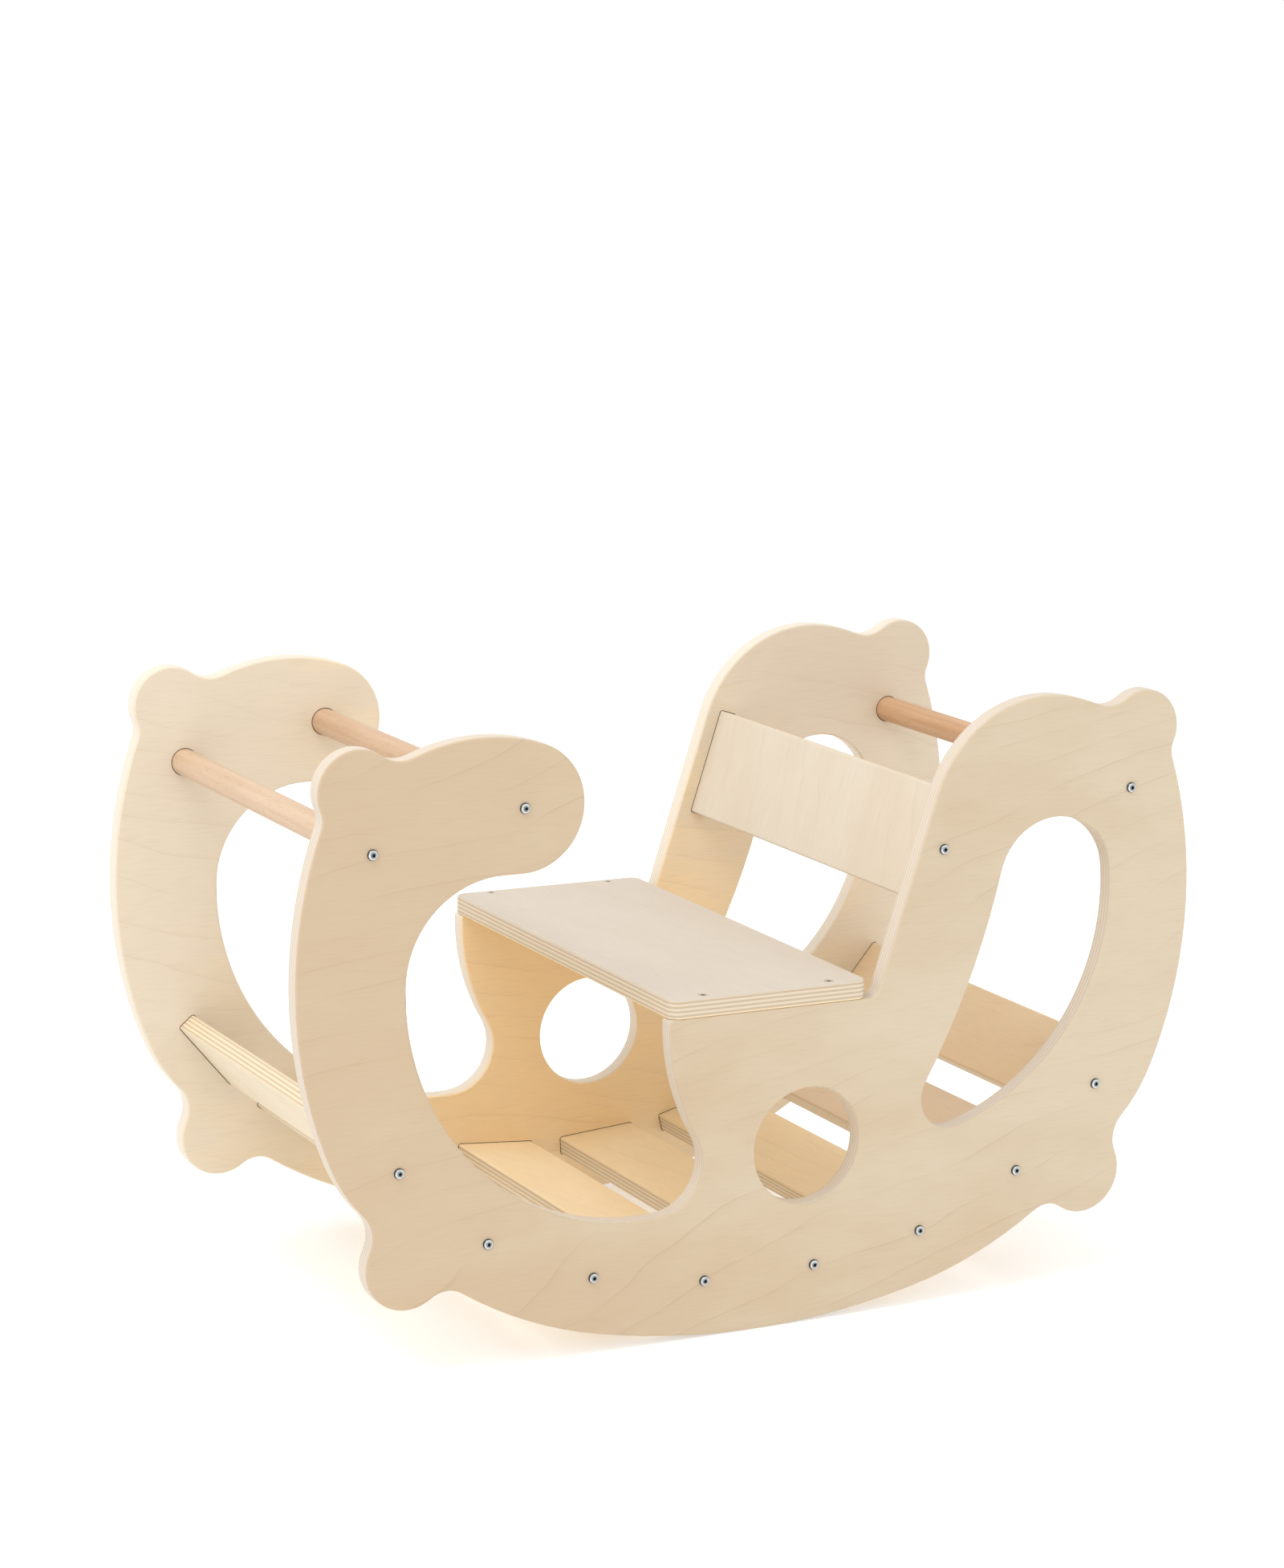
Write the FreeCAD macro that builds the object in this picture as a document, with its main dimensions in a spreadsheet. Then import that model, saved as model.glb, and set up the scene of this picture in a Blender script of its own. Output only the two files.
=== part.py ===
import FreeCAD, Part
import cmath
import math
import os

import Sketcher
from FreeCAD import Placement, Rotation, Vector

# Rocking climbing arch: two plywood side panels carry eight slats, a back rest, three round rails
# and a seat. +Z is up, +X runs from the hand rail to the back rest, and the origin is on the floor
# under the middle of the runners.

# Driving dimensions: lengths in millimetres, angles in degrees
SIZES = {
    # Boards, and how their edges are rounded
    "board_thickness": 18,
    "edge_round": 2,
    # Overall size of a side panel, and the clear width between the two
    "panel_length": 900,
    "panel_height": 562.5,
    "clear_width": 420,
    # Runner: a flat middle, then a tighter haunch at each end; the low knobs stand a little off it
    "runner_angle": 12.3,
    "haunch_radius": 400,
    "haunch_knob_stand": 7,
    # Round knobs low down at both ends of the panel
    "low_knob_radius": 39,
    "low_knob_inset": 104,
    "low_knob_height": 104.5,
    "low_knob_front_dip": 26,
    "low_knob_back_dip": 30,
    # Bulging ends of the panel: both knobs' centres are sunk in the bulge, and the hip pulls in below it
    "end_low_knob_sink": 11,
    "end_top_knob_sink": 19.5,
    "hip_radius": 150,
    "hip_knob_stand": 18,
    # Round knobs at the top corners
    "top_knob_radius": 36.5,
    "top_knob_inset": 56,
    "top_knob_drop": 2,
    "top_knob_outer_dip": 20,
    "top_knob_inner_dip": 30,
    # Crowns over the hand rail and the back rest
    "crown_radius": 174,
    "crown_inset": 172,
    "nose_radius": 57.5,
    "nose_angle": 71,
    "shoulder_radius": 119,
    # Opening behind the hand rail, down to the foot of the seat pillar
    "opening_inset": 101,
    "opening_height": 117,
    "opening_radius": 232,
    "opening_flat": 1,
    "throat_radius": 90,
    "foot_radius": 46,
    # Pillar and shelf under the seat, and the upright that leans back from there to below the crown
    "shelf_height": 296.5,
    "pillar_radius": 205,
    "pillar_drop": 5,
    "pillar_tip_radius": 4,
    "upright_inset": 306,
    "upright_lean": 17.5,
    "upright_corner_radius": 10,
    # Round hole under the seat, and the long hole behind it
    "round_hole_radius": 54,
    "round_hole_offset": 41.5,
    "round_hole_height": 166,
    "long_hole_radius": 213,
    "long_hole_inset": 87,
    "long_hole_height": 372,
    "long_hole_top_radius": 60,
    "long_hole_top_angle": 6,
    "long_hole_end_radius": 31,
    "long_hole_end_angle": 75,
    "long_hole_back_radius": 700,
    # Seat
    "seat_depth": 200,
    "seat_corner_radius": 10,
    "seat_gap": 10,
    "seat_screw_span": 128,
    # Slats along the runner
    "slat_width": 80,
    "slat_inset": 34.5,
    "slat_rise": 16.3,
    "slat_pitch": 112.7,
    # Back rest
    "back_rest_width": 105,
    "back_rest_inset": 14,
    "back_rest_height": 48.5,
    # Round rails
    "rail_diameter": 25,
    "rail_inset": 51.5,
    "rail_angle": 18,
    # Housings in the panels' inner faces that take the ends of slats, back rest and rails
    "housing_depth": 8,
    "housing_clearance": 0.7,
    # Button-head bolts, and the threaded inserts that they screw into
    "bolt_diameter": 5,
    "bolt_length": 30,
    "bolt_hole_clearance": 0.4,
    "bolt_head_diameter": 9.5,
    "bolt_head_height": 2.75,
    "bolt_head_round": 2.2,
    "bolt_tip_chamfer": 0.8,
    "bolt_socket_width": 3,
    "bolt_socket_depth": 1.8,
    "insert_diameter": 8,
    "insert_length": 20,
    "insert_hole_spare": 2,
    # Countersunk screws that hold the seat down
    "screw_diameter": 4,
    "screw_length": 45,
    "screw_point": 6,
    "screw_head_diameter": 9,
    "screw_head_height": 2.5,
    "screw_slot_width": 1.2,
    "screw_slot_length": 5,
    "screw_slot_depth": 1.4,
}
SLAT_COUNT = 8
LEFT, RIGHT = range(-1, 2, 2)
BENDS_RIGHT, BENDS_LEFT = range(-1, 2, 2)
CURVE_START, CURVE_END, CURVE_CENTRE = range(1, 4)
UP = Vector(0, 0, 1)
FLAT = 1e-6

doc = FreeCAD.newDocument("RockingClimbingArch")
sheet = doc.addObject("Spreadsheet::Sheet", "Sizes")
for row, (alias, value) in enumerate(SIZES.items(), start=1):
    sheet.set("A%d" % row, alias)
    sheet.set("B%d" % row, str(value))
    sheet.setAlias("B%d" % row, alias)
doc.recompute()


def size(alias):
    return float(sheet.get(alias))


def evaluate(formula):
    return float(sheet.evalExpression(formula))


def bind(feature, prop, formula):
    feature.setExpression(prop, formula)


# Outlines. A point in the plane of a panel is a complex number: along the object, and up.


def heading(degrees):
    return cmath.exp(1j * math.radians(degrees))


class Line:
    """A straight stretch of an outline, through a point and along a direction."""

    def __init__(self, point, degrees):
        self.point = point
        self.along = heading(degrees)


class Arc:
    """A round stretch of an outline; alias names the size that its radius comes from."""

    def __init__(self, centre, radius, bend, alias=None):
        self.centre = centre
        self.radius = radius
        self.bend = bend
        self.alias = alias

    def mirrored(self):
        return Arc(-self.centre.conjugate(), self.radius, self.bend, self.alias)


def arc(centre, alias, bend=BENDS_LEFT):
    return Arc(centre, size(alias), bend, alias)


def inner_arc(outer, alias, degrees):
    """An arc that touches a larger one from inside, in the given direction from its centre."""
    radius = size(alias)
    return Arc(outer.centre + (outer.radius - radius) * heading(degrees), radius, outer.bend, alias)


def centre_distance(stretch, radius, bend):
    return abs(stretch.radius - radius) if stretch.bend == bend else stretch.radius + radius


def blend_radius(first, second, radius, bend, side, alias=None):
    """The arc that touches two stretches; side picks between the two places where it fits."""
    if isinstance(first, Line) and isinstance(second, Line):
        start = first.point + 1j * first.along * bend * radius
        other = second.point + 1j * second.along * bend * radius
        cross = (first.along.conjugate() * second.along).imag
        reach = ((other - start).conjugate() * second.along).imag / cross
        return Arc(start + reach * first.along, radius, bend, alias)
    if isinstance(first, Arc) and isinstance(second, Arc):
        near = centre_distance(first, radius, bend)
        far = centre_distance(second, radius, bend)
        span = second.centre - first.centre
        along = (near**2 - far**2 + abs(span) ** 2) / (2 * abs(span))
        across = side * math.sqrt(near**2 - along**2)
        return Arc(first.centre + complex(along, across) * span / abs(span), radius, bend, alias)
    line, round_one = (first, second) if isinstance(first, Line) else (second, first)
    start = line.point + 1j * line.along * bend * radius
    gap = (round_one.centre - start) / line.along
    reach = gap.real + side * math.sqrt(centre_distance(round_one, radius, bend) ** 2 - gap.imag**2)
    return Arc(start + reach * line.along, radius, bend, alias)


def blend(first, second, alias, bend, side=1):
    return blend_radius(first, second, size(alias), bend, side, alias)


def joint(first, second):
    """The point where two stretches that touch run into each other."""
    if isinstance(first, Line) or isinstance(second, Line):
        line, round_one = (first, second) if isinstance(first, Line) else (second, first)
        return line.point + line.along * ((round_one.centre - line.point) / line.along).real
    big, small = (first, second) if first.radius > second.radius else (second, first)
    towards = (small.centre - big.centre) / abs(small.centre - big.centre)
    return big.centre + big.radius * towards


def vector(point):
    return Vector(point.real, point.imag, 0)


def tie(sketch, kind, formula, *where):
    """Add a constraint whose value follows a formula on the sheet."""
    rule = sketch.addConstraint(Sketcher.Constraint(kind, *where, evaluate(formula)))
    bind(sketch, "Constraints[%d]" % rule, formula)


def draw(sketch, outline):
    """Add a closed outline to a sketch, its stretches tangent to each other; gives their numbers."""
    joints = [joint(a, b) for a, b in zip(outline, outline[1:] + outline[:1])]
    numbers = []
    ends = []
    for stretch, start, end in zip(outline, joints[-1:] + joints[:-1], joints):
        if isinstance(stretch, Line):
            curve = Part.LineSegment(vector(start), vector(end))
        else:
            circle = Part.Circle(vector(stretch.centre), UP, stretch.radius)
            angles = [cmath.phase(point - stretch.centre) for point in (start, end)]
            curve = Part.ArcOfCircle(circle, *angles[::stretch.bend])
        numbers.append(sketch.addGeometry(curve))
        backwards = isinstance(stretch, Arc) and stretch.bend == BENDS_RIGHT
        ends.append((CURVE_END, CURVE_START) if backwards else (CURVE_START, CURVE_END))
    for this, following in zip(range(len(outline)), list(range(1, len(outline))) + [0]):
        meeting = (numbers[this], ends[this][1], numbers[following], ends[following][0])
        sketch.addConstraint(Sketcher.Constraint("Tangent", *meeting))
    for stretch, number in zip(outline, numbers):
        if isinstance(stretch, Arc) and stretch.alias:
            tie(sketch, "Radius", "Sizes." + stretch.alias, number)
    return numbers


def draw_circle(sketch, centre, radius):
    """Add a circle; its radius is a formula on the sheet."""
    number = sketch.addGeometry(Part.Circle(vector(centre), UP, evaluate(radius)))
    tie(sketch, "Radius", radius, number)


def draw_rectangle(sketch, width, height, corner, centre=0j, tilt=0):
    """Add a rectangle with round corners, turned by tilt; its sizes are formulas on the sheet."""
    turn = heading(tilt)
    half_width = evaluate(width) / 2 * turn
    half_height = evaluate(height) / 2 * 1j * turn
    bottom = Line(centre - half_height, tilt)
    right = Line(centre + half_width, tilt + 90)
    top = Line(centre + half_height, tilt + 180)
    left = Line(centre - half_width, tilt + 270)
    sides = [bottom, right, top, left]
    outline = []
    for side, following in zip(sides, sides[1:] + sides[:1]):
        outline += [side, blend_radius(side, following, evaluate(corner), BENDS_LEFT, 1)]
    low_right, high_right, high_left, low_left = draw(sketch, outline)[1::2]
    for number in (low_right, high_right, high_left, low_left):
        tie(sketch, "Radius", corner, number)
    between = "%s - 2 * (%s)"
    tie(sketch, "Distance", between % (height, corner), low_right, CURVE_CENTRE, high_right, CURVE_CENTRE)
    tie(sketch, "Distance", between % (width, corner), high_right, CURVE_CENTRE, high_left, CURVE_CENTRE)


# Shape of a side panel


def half_length():
    return size("panel_length") / 2


def low_knob_arc():
    return arc(half_length() - size("low_knob_inset") + 1j * size("low_knob_height"), "low_knob_radius")


def top_knob_arc():
    height = size("panel_height") - size("top_knob_drop") - size("top_knob_radius")
    return arc(half_length() - size("top_knob_inset") + 1j * height, "top_knob_radius")


def crown_arc():
    height = size("panel_height") - size("crown_radius")
    return arc(half_length() - size("crown_inset") + 1j * height, "crown_radius")


def runner_arcs():
    """The runner's middle is as flat as it must be for its haunch to reach the low knob."""
    lean = heading(size("runner_angle") - 90)
    haunch_start = -size("haunch_radius") * lean
    haunch_shift = 1j + lean
    reach = (size("haunch_radius") + size("haunch_knob_stand")) / abs(haunch_shift)
    gap = (low_knob_arc().centre - haunch_start) / haunch_shift
    radius = gap.real - math.sqrt(reach**2 - gap.imag**2)
    runner = Arc(1j * radius, radius, BENDS_LEFT)
    return runner, inner_arc(runner, "haunch_radius", size("runner_angle") - 90)


def end_arc():
    """The bulge that ends the panel, as round as it must be to reach from the low knob to the top one."""
    span = top_knob_arc().centre.imag - low_knob_arc().centre.imag
    low_clear = size("low_knob_inset") - size("end_low_knob_sink")
    low_depth = size("low_knob_inset") + size("end_low_knob_sink")
    top_clear = size("top_knob_inset") - size("end_top_knob_sink")
    top_depth = size("top_knob_inset") + size("end_top_knob_sink")
    ratio = low_clear / top_clear - 1
    under_root = span**2 + ratio * (span**2 - low_clear * (top_depth - low_depth))
    top_rise = (math.sqrt(under_root) - span) / ratio
    radius = (top_rise**2 / top_clear + top_depth) / 2
    return Arc(half_length() - radius + 1j * (top_knob_arc().centre.imag - top_rise), radius, BENDS_LEFT)


def nose_arc():
    """The round end over the hand rail, inside the crown above it."""
    crown = crown_arc().mirrored()
    return inner_arc(crown, "nose_radius", size("nose_angle"))


def upright_line():
    """Front edge of the leaning upright, downwards, from level with the middle of the crown."""
    along = half_length() - size("upright_inset")
    return Line(along + 1j * crown_arc().centre.imag, -90 - size("upright_lean"))


def seat_front():
    """The seat lies in front of the upright's foot, where its edge meets the shelf."""
    upright = upright_line()
    drop = (size("shelf_height") - upright.point.imag) / upright.along.imag
    return (upright.point + drop * upright.along).real - size("seat_gap") - size("seat_depth")


def seat_middle():
    return seat_front() + size("seat_depth") / 2


def panel_outline():
    """The outer edge of a panel, anticlockwise from the middle of the runner."""
    runner, haunch = runner_arcs()
    low_knob = low_knob_arc()
    top_knob = top_knob_arc()
    crown = crown_arc()
    end = end_arc()
    knob_clearance = Arc(low_knob.centre, size("hip_knob_stand"), BENDS_RIGHT)
    hip = blend(end, knob_clearance, "hip_radius", BENDS_LEFT)
    right = [
        haunch,
        blend(haunch, low_knob, "low_knob_front_dip", BENDS_RIGHT, -1),
        low_knob,
        blend(low_knob, hip, "low_knob_back_dip", BENDS_RIGHT, -1),
        hip,
        end,
        blend(end, top_knob, "top_knob_outer_dip", BENDS_RIGHT, -1),
        top_knob,
        blend(top_knob, crown, "top_knob_inner_dip", BENDS_RIGHT, -1),
        crown,
    ]
    left = [stretch.mirrored() for stretch in reversed(right)]

    upright = upright_line()
    shelf = Line(1j * size("shelf_height"), 180)
    pillar_height = size("shelf_height") - size("pillar_drop")
    pillar = arc(seat_front() + size("pillar_radius") + 1j * pillar_height, "pillar_radius")
    nose = nose_arc()
    underside = Line(nose.centre - 1j * nose.radius, 0)
    opening_wall = Line(size("opening_inset") - half_length() + 0j, 90)
    opening_floor = Line(1j * size("opening_height"), 180)
    throat = blend(opening_wall, underside, "throat_radius", BENDS_RIGHT)
    foot = blend(pillar, opening_floor, "foot_radius", BENDS_RIGHT)
    room = [throat.centre.imag - opening_floor.point.imag, foot.centre.real - opening_wall.point.real]
    opening_radius = min(size("opening_radius"), min(room) - size("opening_flat"))
    middle = [
        blend(crown, upright, "shoulder_radius", BENDS_LEFT, -1),
        upright,
        blend(upright, shelf, "upright_corner_radius", BENDS_RIGHT),
        shelf,
        blend(shelf, pillar, "pillar_tip_radius", BENDS_LEFT),
        pillar,
        foot,
        opening_floor,
        blend_radius(opening_floor, opening_wall, opening_radius, BENDS_RIGHT, 1),
        opening_wall,
        throat,
        underside,
        nose,
    ]
    return [runner] + right + middle + left


def long_hole_outline():
    """The hole in the upright: round top, blunt lower end and a nearly straight front."""
    centre_x = half_length() - size("long_hole_inset") - size("long_hole_radius")
    back = arc(centre_x + 1j * size("long_hole_height"), "long_hole_radius")
    top = inner_arc(back, "long_hole_top_radius", size("long_hole_top_angle"))
    end = inner_arc(back, "long_hole_end_radius", -size("long_hole_end_angle"))
    front = blend(top, end, "long_hole_back_radius", BENDS_RIGHT, -1)
    return [back, top, front, end]


# Where the cross pieces go: middle of the section, and its tilt


def slat_places():
    """Slats are spaced evenly along a curve inside the runner and raised off it, each lying along it."""
    runner, haunch = runner_arcs()
    middle_radius = runner.radius - size("slat_inset")
    haunch_radius = haunch.radius - size("slat_inset")
    middle_angle = math.radians(size("runner_angle"))
    places = []
    for number in range(SLAT_COUNT):
        travel = (number - (SLAT_COUNT - 1) / 2) * size("slat_pitch")
        side = math.copysign(1, travel)
        angle = abs(travel) / middle_radius
        place = runner.centre + middle_radius * heading(math.degrees(angle) - 90)
        if angle > middle_angle:
            angle = middle_angle + (abs(travel) - middle_radius * middle_angle) / haunch_radius
            place = haunch.centre + haunch_radius * heading(math.degrees(angle) - 90)
        place = complex(side * place.real, place.imag + size("slat_rise"))
        places.append((place, side * math.degrees(angle)))
    return places


def back_rest_place():
    """The back rest stands along the upright beside the crown, set back from the upright's edge."""
    upright = upright_line()
    inwards = 1j * upright.along
    depth = size("back_rest_inset") + size("board_thickness") / 2
    return upright.point - size("back_rest_height") * upright.along + depth * inwards, 90 - size("upright_lean")


def rail_places():
    """One rail in the nose, and one inside each bulging end of the panel."""
    end = end_arc()
    rear = end.centre + (end.radius - size("rail_inset")) * heading(size("rail_angle"))
    return {"hand_rail": nose_arc().centre, "front_rail": -rear.conjugate(), "rear_rail": rear}


slats = slat_places()
back_rest = back_rest_place()
rails = rail_places()


# Making bodies
CROSS_LENGTH = "Sizes.clear_width + 2 * Sizes.housing_depth"


def new_body(label):
    body = doc.addObject("PartDesign::Body", label)
    body.Label = label
    return body


def new_sketch(body, name, role, height="0 mm"):
    """A sketch on one of the body's own planes, or at a height over it."""
    sketch = body.newObject("Sketcher::SketchObject", name)
    planes = [feature for feature in body.Origin.OriginFeatures if feature.Role == role]
    sketch.AttachmentSupport = (planes[0], [""])
    sketch.MapMode = "FlatFace"
    bind(sketch, "AttachmentOffset.Base.z", height)
    return sketch


def extrude(body, kind, sketch, length, reverse=False):
    feature = body.newObject("PartDesign::" + kind, sketch.Name + "_" + kind.lower())
    feature.Profile = sketch
    feature.Reversed = reverse
    bind(feature, "Length", length)
    doc.recompute()
    return feature


def cut(body, sketch, depth, reverse=False):
    """Pocket a sketch into a body, and make sure that it takes material away."""
    before = body.Shape.Volume
    pocket = extrude(body, "Pocket", sketch, depth, reverse)
    if not body.Shape.Volume < before:
        raise RuntimeError(sketch.Name + " cuts nothing")
    return pocket


def primitive(body, kind, height="0 mm", **formulas):
    """Add or take away a simple solid that stands on the body's axis, at a height."""
    feature = body.newObject("PartDesign::" + kind, body.Name + "_" + kind.lower())
    bind(feature, "Placement.Base.z", height)
    for prop, formula in formulas.items():
        bind(feature, prop, formula)
    doc.recompute()
    return feature


def dress(body, kind, prop, formula, wanted):
    """Round or chamfer the edges that pass a test."""
    base = body.Tip
    names = ["Edge%d" % number for number, edge in enumerate(base.Shape.Edges, start=1) if wanted(edge)]
    feature = body.newObject("PartDesign::" + kind, body.Name + "_" + kind.lower())
    feature.Base = (base, names)
    bind(feature, prop, formula)
    doc.recompute()


# Side panels


def make_panel(label, side):
    """A panel whose inner face is the sketch plane; everything is cut from that face."""
    body = new_body(label)
    bind(body, "Placement.Base.y", "%d * Sizes.clear_width / 2" % side)

    outline = new_sketch(body, label + "_outline", "XZ_Plane")
    draw(outline, panel_outline())
    draw(outline, long_hole_outline())
    hole_centre = seat_middle() + size("round_hole_offset") + 1j * size("round_hole_height")
    draw_circle(outline, hole_centre, "Sizes.round_hole_radius")
    extrude(body, "Pad", outline, "Sizes.board_thickness", side == RIGHT)
    dress(body, "Fillet", "Radius", "Sizes.edge_round", lambda edge: edge.BoundBox.YLength < FLAT)

    housings = new_sketch(body, label + "_housings", "XZ_Plane")
    spare = " + 2 * Sizes.housing_clearance"
    boards = [("Sizes.slat_width", slat) for slat in slats] + [("Sizes.back_rest_width", back_rest)]
    for width, (centre, tilt) in boards:
        corner = "Sizes.edge_round + Sizes.housing_clearance"
        draw_rectangle(housings, width + spare, "Sizes.board_thickness" + spare, corner, centre, tilt)
    for centre in rails.values():
        draw_circle(housings, centre, "Sizes.rail_diameter / 2 + Sizes.housing_clearance")
    cut(body, housings, "Sizes.housing_depth", side == LEFT)

    bolt_holes = new_sketch(body, label + "_bolt_holes", "XZ_Plane")
    for centre in [slat for slat, _ in slats] + [back_rest[0]] + list(rails.values()):
        draw_circle(bolt_holes, centre, "Sizes.bolt_diameter / 2 + Sizes.bolt_hole_clearance")
    cut(body, bolt_holes, "Sizes.board_thickness", side == LEFT)

    pilot_holes = new_sketch(body, label + "_pilot_holes", "XY_Plane", "Sizes.shelf_height")
    for along in seat_screw_offsets():
        middle = side * size("board_thickness") / 2
        draw_circle(pilot_holes, along + 1j * middle, "Sizes.screw_diameter / 2")
    cut(body, pilot_holes, "Sizes.screw_length - Sizes.board_thickness")
    return body


# Slats, back rest and rails


def finish_cross_piece(body, section, centre, tilt):
    """Run a section across the width, drill both ends for inserts, and put the piece in its place."""
    pad = extrude(body, "Pad", section, CROSS_LENGTH)
    pad.Midplane = True
    for side in (LEFT, RIGHT):
        face = "%d * (%s) / 2" % (-side, CROSS_LENGTH)
        hole = new_sketch(body, body.Name + "_insert_hole", "XZ_Plane", face)
        draw_circle(hole, 0j, "Sizes.insert_diameter / 2")
        cut(body, hole, "Sizes.insert_length + Sizes.insert_hole_spare", side == RIGHT)
    body.Placement = Placement(Vector(centre.real, 0, centre.imag), Rotation(Vector(0, 1, 0), -tilt))
    return body


def make_board(label, width, place):
    body = new_body(label)
    section = new_sketch(body, label + "_section", "XZ_Plane")
    draw_rectangle(section, width, "Sizes.board_thickness", "Sizes.edge_round")
    return finish_cross_piece(body, section, *place)


def make_rail(label, centre):
    body = new_body(label)
    section = new_sketch(body, label + "_section", "XZ_Plane")
    draw_circle(section, 0j, "Sizes.rail_diameter / 2")
    return finish_cross_piece(body, section, centre, 0)


# Seat


def seat_screw_offsets():
    half_span = size("seat_screw_span") / 2
    return [seat_middle() - half_span, seat_middle() + half_span]


def seat_screw_places():
    panel_middle = (size("clear_width") + size("board_thickness")) / 2
    return [along + 1j * side * panel_middle for side in (LEFT, RIGHT) for along in seat_screw_offsets()]


def make_seat(label):
    """A board as wide as the object, with countersunk screw holes over both panels."""
    body = new_body(label)
    body.Placement.Base = Vector(seat_middle(), 0, size("shelf_height"))
    outline = new_sketch(body, label + "_outline", "XY_Plane")
    width = "Sizes.clear_width + 2 * Sizes.board_thickness"
    draw_rectangle(outline, "Sizes.seat_depth", width, "Sizes.seat_corner_radius")
    extrude(body, "Pad", outline, "Sizes.board_thickness")
    dress(body, "Fillet", "Radius", "Sizes.edge_round", lambda edge: edge.BoundBox.ZLength < FLAT)

    holes = new_sketch(body, label + "_screw_holes", "XY_Plane", "Sizes.board_thickness")
    sinks = new_sketch(body, label + "_countersinks", "XY_Plane", "Sizes.board_thickness")
    for place in seat_screw_places():
        draw_circle(holes, place - seat_middle(), "Sizes.screw_diameter / 2")
        draw_circle(sinks, place - seat_middle(), "Sizes.screw_head_diameter / 2")
    cut(body, holes, "Sizes.board_thickness")
    countersink = cut(body, sinks, "Sizes.screw_head_height")
    slope = "-atan((Sizes.screw_head_diameter - Sizes.screw_diameter) / 2 / Sizes.screw_head_height)"
    bind(countersink, "TaperAngle", slope)
    doc.recompute()
    return body


# Fasteners: one of each kind, standing upright, with the face that it seats by at height zero


def make_bolt(label):
    """A button-head bolt with a hexagon socket."""
    body = new_body(label)
    head = {"Radius": "Sizes.bolt_head_diameter / 2", "Height": "Sizes.bolt_head_height"}
    primitive(body, "AdditiveCylinder", **head)
    shank = {"Radius": "Sizes.bolt_diameter / 2", "Height": "Sizes.bolt_length"}
    primitive(body, "AdditiveCylinder", "-Sizes.bolt_length", **shank)
    top = size("bolt_head_height") - FLAT
    tip = FLAT - size("bolt_length")
    dress(body, "Fillet", "Radius", "Sizes.bolt_head_round", lambda edge: edge.BoundBox.ZMin > top)
    dress(body, "Chamfer", "Size", "Sizes.bolt_tip_chamfer", lambda edge: edge.BoundBox.ZMax < tip)
    socket = {"Circumradius": "Sizes.bolt_socket_width / sqrt(3)", "Height": "Sizes.bolt_socket_depth"}
    floor = "Sizes.bolt_head_height - Sizes.bolt_socket_depth"
    primitive(body, "SubtractivePrism", floor, **socket)
    return body


def make_insert(label):
    """A plain threaded sleeve, its mouth at height zero."""
    body = new_body(label)
    length = "Sizes.insert_length"
    primitive(body, "AdditiveCylinder", "-" + length, Radius="Sizes.insert_diameter / 2", Height=length)
    primitive(body, "SubtractiveCylinder", "-" + length, Radius="Sizes.bolt_diameter / 2", Height=length)
    return body


def make_screw(label):
    """A countersunk wood screw with a cross recess, its head's top at height zero."""
    body = new_body(label)
    thin = "Sizes.screw_diameter / 2"
    thick = "Sizes.screw_head_diameter / 2"
    head = "Sizes.screw_head_height"
    point = "Sizes.screw_point"
    shank = "Sizes.screw_length - Sizes.screw_point"
    primitive(body, "AdditiveCone", "-" + head, Radius1=thin, Radius2=thick, Height=head)
    primitive(body, "AdditiveCylinder", "-(%s)" % shank, Radius=thin, Height="%s - %s" % (shank, head))
    primitive(body, "AdditiveCone", "-Sizes.screw_length", Radius1="0 mm", Radius2=thin, Height=point)
    long_side = "Sizes.screw_slot_length"
    short_side = "Sizes.screw_slot_width"
    depth = "Sizes.screw_slot_depth"
    for length, width in ((long_side, short_side), (short_side, long_side)):
        slot = primitive(body, "SubtractiveBox", "-" + depth, Length=length, Width=width, Height=depth)
        bind(slot, "Placement.Base.x", "-%s / 2" % length)
        bind(slot, "Placement.Base.y", "-%s / 2" % width)
    doc.recompute()
    return body


def make_group(label, piece, placements):
    """Several copies of one fastener, as separate solids in one node."""
    copies = []
    for placement in placements:
        copy = piece.Shape.copy()
        copy.Placement = placement
        copies.append(copy)
    group = doc.addObject("Part::Feature", label)
    group.Label = label
    group.Shape = Part.makeCompound(copies)
    return group


def both_sides(centres, distance):
    """Placements at a distance either side of the middle, each with its top facing outwards."""
    placements = []
    for side in (LEFT, RIGHT):
        outwards = Rotation(Vector(1, 0, 0), -90 * side)
        placements += [Placement(Vector(c.real, side * distance, c.imag), outwards) for c in centres]
    return placements


# The whole object
nodes = [make_panel("left_side_panel", LEFT), make_panel("right_side_panel", RIGHT)]
for number, place in enumerate(slats, start=1):
    nodes.append(make_board("runner_slat_%d" % number, "Sizes.slat_width", place))
nodes.append(make_board("back_rest_board", "Sizes.back_rest_width", back_rest))
for label, centre in rails.items():
    nodes.append(make_rail(label, centre))
nodes.append(make_seat("seat_board"))

bolt = make_bolt("single_bolt")
insert = make_insert("single_insert")
screw = make_screw("single_screw")
outer_face = size("clear_width") / 2 + size("board_thickness")
cross_end = evaluate(CROSS_LENGTH) / 2
bolted = {"slat": [centre for centre, _ in slats], "back_rest": [back_rest[0]], "rail": list(rails.values())}
for name, centres in bolted.items():
    nodes.append(make_group(name + "_bolts", bolt, both_sides(centres, outer_face)))
    nodes.append(make_group(name + "_inserts", insert, both_sides(centres, cross_end)))
seat_top = size("shelf_height") + size("board_thickness")
screw_placements = [Placement(Vector(p.real, p.imag, seat_top), Rotation()) for p in seat_screw_places()]
nodes.append(make_group("seat_screws", screw, screw_placements))

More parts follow.
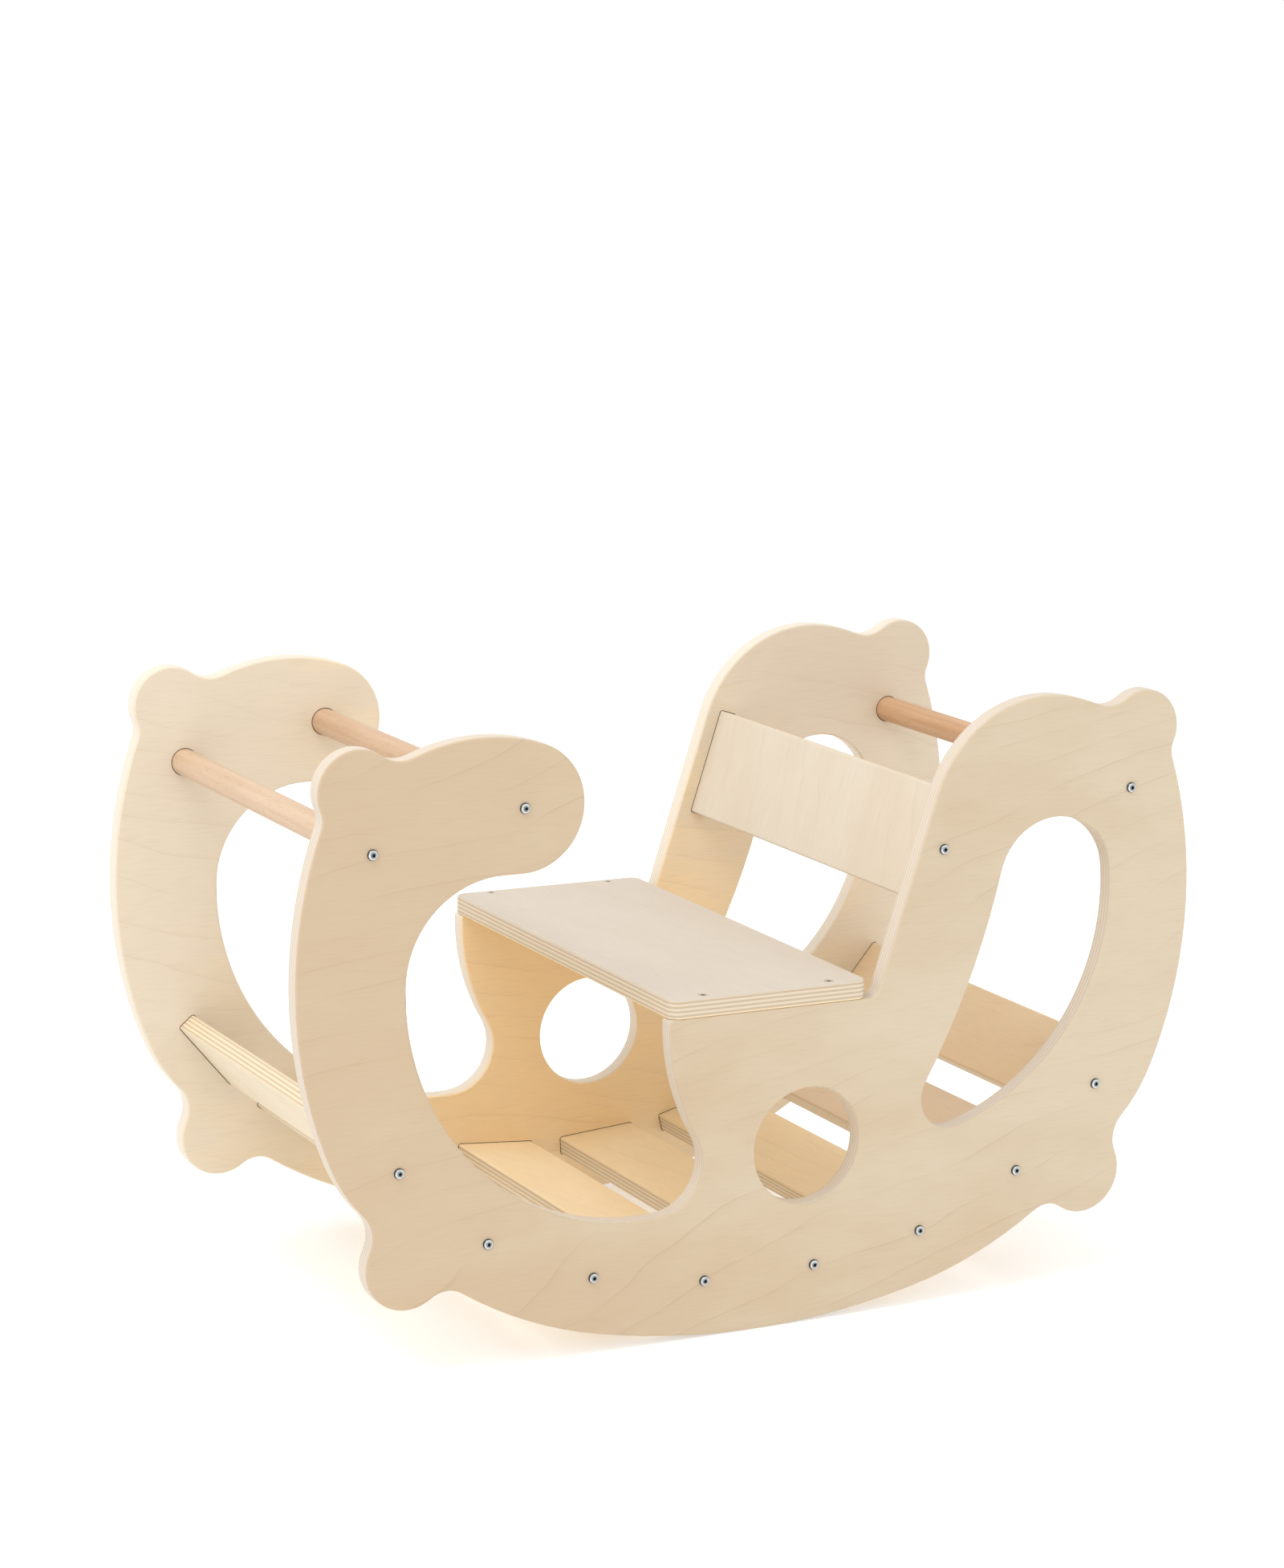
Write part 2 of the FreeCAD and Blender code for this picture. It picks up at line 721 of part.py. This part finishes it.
# Check everything, then write one file for each node
doc.recompute()
for thing in doc.Objects:
    if "Invalid" in thing.State or "Error" in thing.State:
        raise RuntimeError(thing.Label + " failed: " + str(thing.State))
for node in nodes:
    if node.Shape.isNull() or not node.Shape.isValid():
        raise RuntimeError(node.Label + " has no valid shape")
os.makedirs("parts", exist_ok=True)
for node in nodes:
    node.Shape.exportStep("parts/" + node.Label + ".step")
    print(node.Label, len(node.Shape.Solids), round(node.Shape.Volume), "mm3")
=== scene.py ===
import math

import bmesh
import bpy
import numpy as np
from mathutils import Matrix, Vector


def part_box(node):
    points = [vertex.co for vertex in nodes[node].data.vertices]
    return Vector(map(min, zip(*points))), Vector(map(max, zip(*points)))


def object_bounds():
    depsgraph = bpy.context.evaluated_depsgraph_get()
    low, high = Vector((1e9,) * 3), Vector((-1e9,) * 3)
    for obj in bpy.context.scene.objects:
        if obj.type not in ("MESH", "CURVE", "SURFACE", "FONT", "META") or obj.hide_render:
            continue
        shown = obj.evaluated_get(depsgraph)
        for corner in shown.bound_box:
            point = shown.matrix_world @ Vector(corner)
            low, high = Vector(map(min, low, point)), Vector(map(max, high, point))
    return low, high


# Rocking climbing arch: birch plywood panels, slats, seat and back rest, beech rails, zinc-plated bolts

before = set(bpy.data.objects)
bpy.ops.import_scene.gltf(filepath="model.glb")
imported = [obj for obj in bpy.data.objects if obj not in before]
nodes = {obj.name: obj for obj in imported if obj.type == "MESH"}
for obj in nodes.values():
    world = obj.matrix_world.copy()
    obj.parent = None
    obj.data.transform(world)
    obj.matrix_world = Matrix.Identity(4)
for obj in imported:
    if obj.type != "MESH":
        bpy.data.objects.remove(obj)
cad_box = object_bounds()

# Sizes, in metres
PLIES = 9
BOARD = 0.018
PLY = BOARD / PLIES
INNER_FACE = 0.210
OUTER_FACE = INNER_FACE + BOARD
PANEL_MIDDLE = INNER_FACE + BOARD / 2
PANEL_CENTRE_HEIGHT = 0.20
BOLT_HEAD_HEIGHT = 0.00275
SOCKET_DEPTH = 0.0018
SCREW_SLOT_DEPTH = 0.0014

# Where a finish changes: from a board's middle, from the object's middle where the painted gap shade
# starts, and above a recess's floor where its painted shade fades
VENEER_START = 0.0075
VENEER_FULL = 0.0077
GAP_SHADE_START = INNER_FACE - 0.0001
GAP_SHADE_FULL = INNER_FACE + 0.0004
RECESS_EDGE = 0.0002

ALONG = Vector((1, 0, 0))
ACROSS = Vector((0, 1, 0))
UP = Vector((0, 0, 1))


# Nodes of the materials


class Value:
    """One output of a node; sums and products with it add the Math nodes that work them out."""

    def __init__(self, finish, socket):
        self.finish = finish
        self.socket = socket

    def math(self, operation, first, second):
        return self.finish.node("Math", {"operation": operation}, {0: first, 1: second})

    def __add__(self, other):
        return self.math("ADD", self, other)

    def __radd__(self, other):
        return self.math("ADD", other, self)

    def __sub__(self, other):
        return self.math("SUBTRACT", self, other)

    def __rsub__(self, other):
        return self.math("SUBTRACT", other, self)

    def __mul__(self, other):
        return self.math("MULTIPLY", self, other)

    def __rmul__(self, other):
        return self.math("MULTIPLY", other, self)

    def __pow__(self, other):
        return self.math("POWER", self, other)

    def __abs__(self):
        return self.math("ABSOLUTE", self, 0)


class Finish:
    """A material in the making: its shader, and the nodes that feed it."""

    def __init__(self, name, **steady):
        self.material = bpy.data.materials.new(name)
        self.material.use_nodes = True
        self.tree = self.material.node_tree
        self.shader = self.tree.nodes["Principled BSDF"]
        for label, value in steady.items():
            self.shader.inputs[label.replace("_", " ")].default_value = value

    def node(self, kind, settings, inputs, output=0):
        """Add a node: its settings first, then the values or links of its sockets."""
        made = self.tree.nodes.new("ShaderNode" + kind)
        for label, value in settings.items():
            setattr(made, label, value)
        for label, value in inputs.items():
            self.feed(made.inputs[label], value)
        return Value(self, made.outputs[output])

    def feed(self, socket, value):
        if isinstance(value, Value):
            self.tree.links.new(value.socket, socket)
        else:
            socket.default_value = value

    def shade(self, label, value):
        self.feed(self.shader.inputs[label], value)

    def object_place(self):
        return self.node("TexCoord", {}, {}, "Object")

    def part_of(self, place, axis):
        return self.node("SeparateXYZ", {}, {0: place}, axis)

    def moved(self, place, offset):
        return self.node("VectorMath", {"operation": "ADD"}, {0: place, 1: offset})

    def length_of(self, place):
        return self.node("VectorMath", {"operation": "LENGTH"}, {0: place}, "Value")

    def noise(self, place, cells, detail):
        """Noise from 0 to 1, with so many cells to the metre along each axis."""
        stretched = self.node("VectorMath", {"operation": "MULTIPLY"}, {0: place, 1: cells})
        return self.node("TexNoise", {}, {"Vector": stretched, "Scale": 1, "Detail": detail}, "Fac")

    def between(self, value, low, high):
        """0 up to low, 1 from high, and smooth between them."""
        limits = {"Value": value, "From Min": low, "From Max": high}
        return self.node("MapRange", {"interpolation_type": "SMOOTHSTEP"}, limits, "Result")

    def mix(self, share, first, second):
        return self.node("Mix", {"data_type": "RGBA"}, {0: share, 6: first, 7: second}, 2)

    def bump(self, height, depth, strength):
        inputs = {"Height": height, "Distance": depth, "Strength": strength}
        self.shade("Normal", self.node("Bump", {}, inputs))


def colour(red, green, blue):
    return (red, green, blue, 1.0)


# Noise in the wood: cells to the metre along the grain, across it and through the board, and its detail
BROAD_CLOUD = (2.5, 9, 9), 2
SMALL_CLOUD = (16, 34, 34), 2
BROAD_SWELL = (1.6, 4.2, 4.2), 1.5
SMALL_SWELL = (9, 22, 22), 1
LINE_PATCHES = (6, 14, 14), 1
FIBRES = (40, 800, 800), 3
FLECKS = (130, 1500, 1500), 1
PLY_WAVER = (9, 9, 60), 1
PLY_SPECKS = (160, 160, 1600), 2

# Limits between which clouds, line patches, fibres, flecks and cross plies set in, and glue lines fade
CLOUD_LIMITS = 0.22, 0.78
PATCH_LIMITS = 0.35, 0.7
FIBRE_LIMITS = 0.45, 0.8
FLECK_LIMITS = 0.66, 0.76
CROSS_PLY_LIMITS = 0.0, 0.6
GLUE_LIMITS = 0.0, 0.3

# How much each of them shows, and how far the plies waver
BROAD_CLOUD_SHARE = 0.7
SMALL_CLOUD_SHARE = 0.3
FAINTEST_LINE = 0.04
LINE_RANGE = 0.34
FIBRE_SHARE = 0.11
FLECK_SHARE = 0.06
PLY_SPECK_SHARE = 0.5
GLUE_SHARE = 0.2
SEAM_SHARE = 0.4
WAVER_HEIGHT = PLY / 4

# Growth lines: how many there are to the metre, by how many of them the swells bend them, and their profile
LINES_ACROSS = 33
LINES_ALONG = 8
BROAD_BEND = 6
SMALL_BEND = 0.5
SOFT_SIDE = 6
SOFT_SIDE_SHARE = 0.18
SHARP_SIDE = 50
SHARP_SIDE_SHARE = 0.82

# Lacquer on the wood
WOOD_IOR = 1.45
PLYWOOD_GLOSS = 0.35
PLYWOOD_ROUGHNESS = 0.46
FIBRE_ROUGHNESS = 0.16
LINE_RELIEF = 0.3
GRAIN_DEPTH = 0.0002
PLYWOOD_BUMP = 0.25

# Dark lines in the wood, and the painted shade on the ends of boards and rails in their housings
GLUE_LINE = colour(0.36, 0.23, 0.13)
GROWTH_LINE = colour(0.38, 0.23, 0.12)
PAINTED_GAP_SHADE = colour(0.17, 0.095, 0.05)


def paint_gap_shade(finish, tone):
    """Painted shade: darken what lies in the gap between a cross piece and its housing."""
    reach = abs(finish.part_of(finish.object_place(), "Y"))
    return finish.mix(finish.between(reach, GAP_SHADE_START, GAP_SHADE_FULL), tone, PAINTED_GAP_SHADE)


def growth_lines(finish, figure):
    """Late wood of the rotary-cut veneer: lines that are soft on one side and sharp on the other."""
    broad_swell = finish.noise(figure, *BROAD_SWELL) * BROAD_BEND
    small_swell = finish.noise(figure, *SMALL_SWELL) * SMALL_BEND
    slope = finish.part_of(figure, "Y") * LINES_ACROSS - finish.part_of(figure, "X") * LINES_ALONG
    season = finish.node("Math", {"operation": "FRACT"}, {0: broad_swell + small_swell + slope})
    return season ** SOFT_SIDE * SOFT_SIDE_SHARE + season ** SHARP_SIDE * SHARP_SIDE_SHARE


def front_share(finish, board):
    """1 in the front half of a board, 0 in its back half."""
    return finish.between(finish.part_of(board, "Z"), -PLY, PLY)


def veneer_tone(finish, board, figure, front, back, drift):
    """Broad clouds between the pale and the deep tone of each face."""
    broad_cloud = finish.noise(figure, *BROAD_CLOUD) * BROAD_CLOUD_SHARE
    cloud = broad_cloud + finish.noise(figure, *SMALL_CLOUD) * SMALL_CLOUD_SHARE
    # drift deepens parts of a board; round the panels' middle that is painted shade under the seat
    if drift:
        cloud = cloud + drift(finish, board)
    cloud = finish.between(cloud, *CLOUD_LIMITS)
    tone = finish.mix(cloud, *front)
    if back != front:
        tone = finish.mix(front_share(finish, board), finish.mix(cloud, *back), tone)
    return tone


def edge_tone(finish, board, plies):
    """Pale long plies, darker cross plies and thin glue lines."""
    waver = finish.noise(board, *PLY_WAVER) * WAVER_HEIGHT
    layer = finish.part_of(board, "Z") + waver - WAVER_HEIGHT / 2
    stack = finish.node("Math", {"operation": "COSINE"}, {0: layer * (math.pi / PLY)})
    cross_ply = finish.between(stack * -1, *CROSS_PLY_LIMITS)
    speck = finish.noise(board, *PLY_SPECKS) * PLY_SPECK_SHARE
    tone = finish.mix(cross_ply * (1 - PLY_SPECK_SHARE + speck), *plies)
    glue = 1 - finish.between(abs(stack), *GLUE_LIMITS)
    return finish.mix(glue * GLUE_SHARE, tone, GLUE_LINE)


def plywood(name, centre, grain, normal, front, back, plies, offset, lines,
            drift=None, stain=None, housed=False, gloss=PLYWOOD_GLOSS):
    """Birch plywood: rotary-cut veneer on both faces, and the plies along the edges.

    grain and normal are the board's own directions, and normal points out of its front face. front and
    back are the pale and the deep tone of the veneer on that face, and plies those of the edges. offset
    gives each board its own figure, and lines is how much its growth lines show. drift says where on the
    board the veneer is deeper, which round the panels' middle is painted shade under the seat, and a
    further function says where it is browner. A housed board gets painted shade on its ends in the panels."""
    finish = Finish(name, IOR=WOOD_IOR, Specular_IOR_Level=gloss)
    turn = Matrix((grain, normal.cross(grain), normal)).transposed().to_euler()
    placing = {"Vector": finish.object_place(), "Location": centre, "Rotation": turn}
    board = finish.node("Mapping", {"vector_type": "TEXTURE"}, placing)
    figure = finish.moved(board, offset)

    # Faces: clouds, growth lines that come and go, fine fibres and short flecks
    veneer = veneer_tone(finish, board, figure, front, back, drift)
    # Browner in places, where a further function says
    if stain:
        veneer = finish.mix(stain(finish, board), veneer, GROWTH_LINE)
    late_wood = growth_lines(finish, figure)
    patch = finish.between(finish.noise(figure, *LINE_PATCHES), *PATCH_LIMITS)
    veneer = finish.mix(late_wood * (FAINTEST_LINE + patch * LINE_RANGE) * lines, veneer, GROWTH_LINE)
    fibre = finish.noise(figure, *FIBRES)
    veneer = finish.mix(finish.between(fibre, *FIBRE_LIMITS) * FIBRE_SHARE, veneer, GROWTH_LINE)
    fleck = finish.between(finish.noise(figure, *FLECKS), *FLECK_LIMITS)
    veneer = finish.mix(fleck * FLECK_SHARE, veneer, GROWTH_LINE)

    # The faces reach a little way down the edges, to a seam that is strongest where face is a half
    depth = abs(finish.part_of(board, "Z"))
    face = finish.between(depth, VENEER_START, VENEER_FULL)
    tone = finish.mix(face, edge_tone(finish, board, plies), veneer)
    seam = face * (1 - face) * 4
    tone = finish.mix(seam * SEAM_SHARE, tone, GLUE_LINE)
    # The ends in the housings get painted shade
    if housed:
        tone = paint_gap_shade(finish, tone)

    finish.shade("Base Color", tone)
    finish.shade("Roughness", PLYWOOD_ROUGHNESS + fibre * FIBRE_ROUGHNESS)
    finish.bump(fibre + late_wood * LINE_RELIEF, GRAIN_DEPTH, PLYWOOD_BUMP)
    return finish.material


# Beech: streaks along the rail, and the flecks of the rays
BEECH_STREAKS = (160, 5, 160), 3
BEECH_RAYS = (900, 90, 900), 1
STREAK_LIMITS = 0.32, 0.68
RAY_LIMITS = 0.60, 0.70
RAY_SHARE = 0.25
RAY_FLECK = colour(0.38, 0.19, 0.09)
BEECH_GLOSS = 0.4
BEECH_ROUGHNESS = 0.40
STREAK_ROUGHNESS = 0.2
RAY_RELIEF = -0.5
BEECH_BUMP = 0.2


def beech(name, tones, offset):
    """A turned beech rail: soft streaks along it, and the short dark flecks of its rays."""
    finish = Finish(name, IOR=WOOD_IOR, Specular_IOR_Level=BEECH_GLOSS)
    place = finish.moved(finish.object_place(), offset)
    streak = finish.noise(place, *BEECH_STREAKS)
    tone = finish.mix(finish.between(streak, *STREAK_LIMITS), *tones)
    ray = finish.between(finish.noise(place, *BEECH_RAYS), *RAY_LIMITS)
    tone = finish.mix(ray * RAY_SHARE, tone, RAY_FLECK)
    # The rail's ends in the housings get painted shade
    finish.shade("Base Color", paint_gap_shade(finish, tone))
    finish.shade("Roughness", BEECH_ROUGHNESS + streak * STREAK_ROUGHNESS)
    finish.bump(streak + ray * RAY_RELIEF, GRAIN_DEPTH, BEECH_BUMP)
    return finish.material


# Zinc plate: its clouds, and how straight outwards the flat top and the dome above the foot face, for the
# painted shade on them
ZINC_CLOUD = (420, 420, 420), 3
ZINC_CLOUD_LIMITS = 0.35, 0.65
FLAT_TOP_LIMITS = 0.97, 0.995
DOME_LIMITS = 0.54, 0.80
PAINTED_RECESS_SHADE = colour(0.022, 0.03, 0.034)
ZINC_ROUGHNESS = 0.24
CLOUD_ROUGHNESS = 0.2
ZINC_BUMP_DEPTH = 0.0001
ZINC_BUMP = 0.15


def zinc(name, tones, recess_start, outwards, top_shade, foot_shade):
    """Zinc plate on a head, a little cloudy: bright on the dome, with painted shade on the flat top and at
    the foot.

    outwards is the axis that the heads point along. The recess is what faces outwards lower than
    recess_start, and its walls, and it gets painted shade as dark as the foot."""
    finish = Finish(name, Metallic=1.0)
    place = finish.object_place()
    cloud = finish.noise(place, *ZINC_CLOUD)
    tone = finish.mix(finish.between(cloud, *ZINC_CLOUD_LIMITS), *tones)
    facing = finish.node("NewGeometry", {}, {}, "True Normal")
    straight_out = abs(finish.part_of(facing, outwards))
    flat_top = finish.between(straight_out, *FLAT_TOP_LIMITS)
    foot = 1 - finish.between(straight_out, *DOME_LIMITS)
    # Painted shade on the flat top and at the foot, placed by which way the surface faces
    tone = finish.mix(flat_top * top_shade + foot * foot_shade, tone, PAINTED_RECESS_SHADE)
    height = abs(finish.part_of(place, outwards))
    # Painted shade in the recess: the socket of a bolt, the slot of a screw
    recess = flat_top * (1 - finish.between(height, recess_start, recess_start + RECESS_EDGE))
    tone = finish.mix(recess * foot_shade, tone, PAINTED_RECESS_SHADE)
    finish.shade("Base Color", tone)
    finish.shade("Roughness", ZINC_ROUGHNESS + cloud * CLOUD_ROUGHNESS)
    finish.bump(cloud, ZINC_BUMP_DEPTH, ZINC_BUMP)
    return finish.material


def dress(node, material):
    """Give a CAD node its finish."""
    slots = nodes[node].data.materials
    slots.clear()
    slots.append(material)


def middle_of(box):
    low, high = box
    return (low + high) / 2


# Side panels: pale and deep tone of the faces, and tones of the long and the cross plies; the inner faces'
# golden deep tone is also their painted shade under the seat
OUTER_VENEER = colour(0.64, 0.54, 0.395), colour(0.58, 0.445, 0.30)
INNER_VENEER = colour(0.745, 0.65, 0.515), colour(0.92, 0.72, 0.45)
LEFT_PANEL_PLIES = colour(0.69, 0.61, 0.51), colour(0.58, 0.48, 0.37)
RIGHT_PANEL_PLIES = colour(0.80, 0.72, 0.605), colour(0.71, 0.61, 0.48)
FRONT_DRIFT = -0.6
# How strong the painted shade under the seat is, and how fast it falls off from the panel's middle
UNDER_SEAT_SHADE_DRIFT = 0.4
UNDER_SEAT_SHADE_FALL = 1.6
BACK_PATCH_LIMITS = 0.0, 0.3
TOP_PATCH_LIMITS = 0.20, 0.34
BROWN_PATCH_SHARE = 0.17


def painted_shade_under_the_seat(finish, board):
    """Painted shade under the seat: deeper round the middle of the panel."""
    return UNDER_SEAT_SHADE_DRIFT - finish.length_of(board) * UNDER_SEAT_SHADE_FALL


def outside_towards_the_front(finish, board):
    """Deeper towards the front on the outer face, and round the middle on the inner face, where that is
    painted shade under the seat.
    """
    outside = front_share(finish, board)
    front = finish.part_of(board, "X") * FRONT_DRIFT
    return outside * front + (1 - outside) * painted_shade_under_the_seat(finish, board)


def browner_upper_back(finish, board):
    """Browner towards the top of the back, on the right panel, whose own Y axis points down."""
    back = finish.between(finish.part_of(board, "X"), *BACK_PATCH_LIMITS)
    top = finish.between(finish.part_of(board, "Y") * -1, *TOP_PATCH_LIMITS)
    return back * top * BROWN_PATCH_SHARE


def dress_panel(node, side, **look):
    centre = Vector((0, side * PANEL_MIDDLE, PANEL_CENTRE_HEIGHT))
    faces = {"front": OUTER_VENEER, "back": INNER_VENEER}
    dress(node, plywood(node + "_birch", centre, ALONG, side * ACROSS, **faces, **look))


left_look = {"plies": LEFT_PANEL_PLIES, "offset": (0.3, 0.1, 0), "lines": 0.95}
right_look = {"plies": RIGHT_PANEL_PLIES, "offset": (2.7, 1.9, 0.4), "lines": 0.55}
# Both panels get painted shade under the seat through their drift
dress_panel("left_side_panel", -1, **left_look, drift=outside_towards_the_front)
dress_panel("right_side_panel", 1, **right_look, drift=painted_shade_under_the_seat, stain=browner_upper_back)

# Slats, back rest and seat: tones of the faces and of the plies; the golden tone is painted warm bounce
# light, the brown and the tan tone are painted shade, and the seat's tone holds painted sheen
PALE_SLAT_VENEER = colour(0.74, 0.65, 0.50), colour(0.70, 0.595, 0.43)
PAINTED_GOLDEN_BOUNCE_VENEER = colour(0.92, 0.77, 0.53), colour(0.89, 0.715, 0.455)
BROWN_PAINTED_SHADE_VENEER = colour(0.70, 0.56, 0.41), colour(0.66, 0.515, 0.355)
TAN_PAINTED_SHADE_VENEER = colour(0.79, 0.625, 0.425), colour(0.745, 0.57, 0.365)
REST_VENEER = colour(0.68, 0.605, 0.495), colour(0.64, 0.54, 0.41)
SEAT_VENEER_AND_PAINTED_SHEEN = colour(0.635, 0.565, 0.48), colour(0.605, 0.53, 0.445)
BOARD_PLIES = colour(0.80, 0.69, 0.51), colour(0.57, 0.41, 0.25)
SEAT_PLIES = colour(0.71, 0.61, 0.47), colour(0.50, 0.38, 0.25)
SLAT_LINES = 0.6
REST_LINES = 0.5
SEAT_LINES = 0.35
# Low gloss, as the seat's paler, greyer tone is its own birch with painted sheen
SEAT_GLOSS = 0.1
SLAT_OFFSET_STEP = Vector((0.9, 0.37, 0))
SLAT_OFFSET_DEPTH = Vector((0, 0, 0.2))
REST_OFFSET = (5.1, 0.8, 0.6)
SEAT_OFFSET = (7.3, 2.2, 0.1)


def section_tilt(node, middle):
    """Angle that the wide side of a cross piece's section makes with the floor."""
    points = np.array([corner.co for corner in nodes[node].data.vertices])
    x = points[:, 0] - middle.x
    z = points[:, 2] - middle.z
    return 0.5 * math.atan2(2 * np.mean(x * z), np.mean(x * x) - np.mean(z * z))


def dress_board(node, veneer, offset, lines, crosswise=False):
    """A board between the panels, with its grain along it, or crosswise."""
    middle = middle_of(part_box(node))
    tilt = section_tilt(node, middle)
    wide = Vector((math.cos(tilt), 0, math.sin(tilt)))
    normal = Vector((-math.sin(tilt), 0, math.cos(tilt)))
    grain = wide if crosswise else ACROSS
    faces = {"front": veneer, "back": veneer, "plies": BOARD_PLIES}
    # Housed boards get painted shade on their ends in the panels
    look = {"offset": offset, "lines": lines, "housed": True}
    dress(node, plywood(node + "_birch", middle, grain, normal, **faces, **look))


# One birch in lit and shaded copies: slats 1 and 2 plain, 3 to 6 golden with painted bounce light, 7 brown
# and 8 tan with painted shade
slat_veneers = [PALE_SLAT_VENEER] * 2 + [PAINTED_GOLDEN_BOUNCE_VENEER] * 4 + [BROWN_PAINTED_SHADE_VENEER, TAN_PAINTED_SHADE_VENEER]
for number, veneer in enumerate(slat_veneers, start=1):
    offset = number * SLAT_OFFSET_STEP + SLAT_OFFSET_DEPTH
    dress_board("runner_slat_%d" % number, veneer, offset, SLAT_LINES)
dress_board("back_rest_board", REST_VENEER, REST_OFFSET, REST_LINES, crosswise=True)
seat_middle = middle_of(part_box("seat_board"))
# The seat's underside takes the golden tone: painted warm bounce light in its shade
seat_faces = {"front": SEAT_VENEER_AND_PAINTED_SHEEN, "back": PAINTED_GOLDEN_BOUNCE_VENEER, "plies": SEAT_PLIES}
seat_look = {"offset": SEAT_OFFSET, "lines": SEAT_LINES, "gloss": SEAT_GLOSS}
dress("seat_board", plywood("seat_birch", seat_middle, ACROSS, UP, **seat_faces, **seat_look))

# Rails: pale and deep tone of the beech, and the place of its figure
HAND_RAIL_TONES = colour(0.60, 0.42, 0.28), colour(0.54, 0.35, 0.22)
FRONT_RAIL_TONES = colour(0.64, 0.47, 0.33), colour(0.58, 0.41, 0.27)
REAR_RAIL_TONES = colour(0.60, 0.38, 0.22), colour(0.53, 0.31, 0.175)
dress("hand_rail", beech("hand_rail_beech", HAND_RAIL_TONES, (0, 0, 0)))
dress("front_rail", beech("front_rail_beech", FRONT_RAIL_TONES, (0.4, 1.3, 0.2)))
dress("rear_rail", beech("rear_rail_beech", REAR_RAIL_TONES, (0.8, 2.9, 0.5)))

# Bolts and inserts in bright zinc, seat screws in yellow zinc
ZINC_TONES = colour(0.76, 0.79, 0.80), colour(0.58, 0.61, 0.62)
YELLOW_ZINC_TONES = colour(0.68, 0.60, 0.48), colour(0.58, 0.50, 0.39)
socket_start = OUTER_FACE + BOLT_HEAD_HEIGHT - SOCKET_DEPTH + RECESS_EDGE
slot_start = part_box("seat_screws")[1].z - SCREW_SLOT_DEPTH / 2
# top_shade and foot_shade are how much painted shade the flat top and the foot get
bolt_zinc = zinc("bolt_zinc", ZINC_TONES, socket_start, "Y", top_shade=0.6, foot_shade=0.9)
screw_zinc = zinc("screw_zinc", YELLOW_ZINC_TONES, slot_start, "Z", top_shade=0.0, foot_shade=0.1)
for group in ("slat", "back_rest", "rail"):
    dress(group + "_bolts", bolt_zinc)
    dress(group + "_inserts", bolt_zinc)
dress("seat_screws", screw_zinc)

# Floor
FLOOR_SIZE = 40
FLOOR_TONES = colour(0.80, 0.80, 0.80), colour(0.83, 0.83, 0.83)
FLOOR_CLOUD = (0.6, 0.6, 0.6), 2
FLOOR_ROUGHNESS = 0.7
FLOOR_GLOSS = 0.2
FLOOR_GLOW = 0.32
WHITE = colour(1.0, 1.0, 1.0)


def floor_white():
    sheen = {"Roughness": FLOOR_ROUGHNESS, "Specular_IOR_Level": FLOOR_GLOSS}
    finish = Finish("studio_floor_white", **sheen, Emission_Strength=FLOOR_GLOW)
    cloud = finish.noise(finish.object_place(), *FLOOR_CLOUD)
    finish.shade("Base Color", finish.mix(cloud, *FLOOR_TONES))
    finish.shade("Emission Color", WHITE)
    return finish.material


def make_floor():
    mesh = bpy.data.meshes.new("studio_floor")
    shape = bmesh.new()
    bmesh.ops.create_grid(shape, x_segments=1, y_segments=1, size=FLOOR_SIZE)
    shape.to_mesh(mesh)
    shape.free()
    mesh.materials.append(floor_white())
    floor = bpy.data.objects.new("studio_floor", mesh)
    bpy.context.scene.collection.objects.link(floor)


make_floor()

# Light: place and width in metres, power in watts
LIGHT_TINT = (1.0, 0.99, 0.97)
HIGH_SOFT_BOX = {"place": (-1.4, -0.4, 2.85), "width": 1.6, "power": 34}
SIDE_SOFT_BOX = {"place": (2.4, -3.2, 1.6), "width": 2.5, "power": 5}
WORLD_STRENGTH = 1.0


def soft_box(name, place, width, power):
    """A square light that points at the middle of the object."""
    lamp = bpy.data.lights.new(name, "AREA")
    lamp.shape = "SQUARE"
    lamp.size = width
    lamp.energy = power
    lamp.color = LIGHT_TINT
    light = bpy.data.objects.new(name, lamp)
    light.location = place
    aim = middle_of(cad_box) - light.location
    light.rotation_euler = aim.to_track_quat("-Z", "Y").to_euler()
    bpy.context.scene.collection.objects.link(light)


soft_box("high_soft_box", **HIGH_SOFT_BOX)
soft_box("side_soft_box", **SIDE_SOFT_BOX)

world = bpy.data.worlds.new("studio_white")
bpy.context.scene.world = world
world.use_nodes = True
background = world.node_tree.nodes["Background"]
background.inputs["Color"].default_value = WHITE
background.inputs["Strength"].default_value = WORLD_STRENGTH

# Camera, at the photograph's viewing angle
IMAGE_HEIGHT = 1954
FOCAL_PIXELS = 4895
SENSOR = 36
CAMERA_PLACE = (-1.66601, -3.17402, 1.1755)
LOOKING = Vector((0.453755, 0.869303, -0.196008)).normalized()
RIGHTWARDS = Vector((0.88805, -0.459375, 0.018476))

camera_data = bpy.data.cameras.new("camera")
camera_data.sensor_width = SENSOR
camera_data.lens = FOCAL_PIXELS * SENSOR / IMAGE_HEIGHT
camera = bpy.data.objects.new("camera", camera_data)
rightwards = (RIGHTWARDS - RIGHTWARDS.dot(LOOKING) * LOOKING).normalized()
turn = Matrix((rightwards, rightwards.cross(LOOKING), -LOOKING)).transposed()
camera.matrix_world = Matrix.Translation(CAMERA_PLACE) @ turn.to_4x4()
bpy.context.scene.collection.objects.link(camera)
bpy.context.scene.camera = camera

bpy.context.scene.view_settings.view_transform = "Standard"
